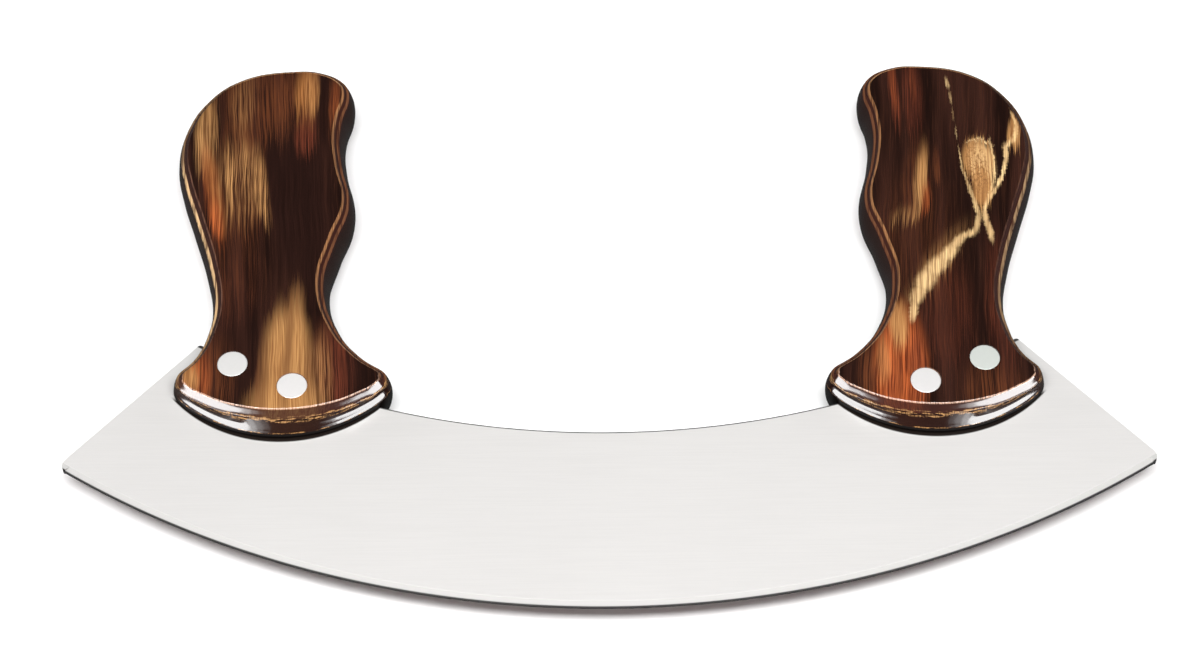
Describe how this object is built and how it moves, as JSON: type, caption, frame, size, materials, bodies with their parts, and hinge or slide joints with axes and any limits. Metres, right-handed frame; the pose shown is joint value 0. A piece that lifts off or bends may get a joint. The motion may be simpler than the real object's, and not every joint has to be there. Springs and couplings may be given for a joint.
{
  "type": "mezzaluna",
  "caption": "Crescent-shaped chopping blade with a ground cutting edge and upright contoured wooden handles riveted over its back.",
  "frame": {"origin": "middle of the bounding box at the level of the handles' lower faces, the tool lying flat", "axes": "+X along the blade, -Y towards the cutting edge, +Y towards the handle ends, +Z out of the blade's upper face"},
  "size_m": [0.25, 0.1509, 0.015],
  "materials": {
    "blade_steel": "fine satin stainless steel, bare, with a ground edge",
    "handle_wood": "dark brown wood with light streaks, gloss varnish",
    "rivet_aluminium": "satin, ground flush with the handle"
  },
  "bodies": {
    "root": {"blade": "blade_steel", "left_handle": "handle_wood", "right_handle": "handle_wood", "left_outer_rivet_female": "rivet_aluminium", "left_outer_rivet_male": "rivet_aluminium", "left_inner_rivet_female": "rivet_aluminium", "left_inner_rivet_male": "rivet_aluminium", "right_inner_rivet_female": "rivet_aluminium", "right_inner_rivet_male": "rivet_aluminium", "right_outer_rivet_female": "rivet_aluminium", "right_outer_rivet_male": "rivet_aluminium"}
  },
  "joints": []
}
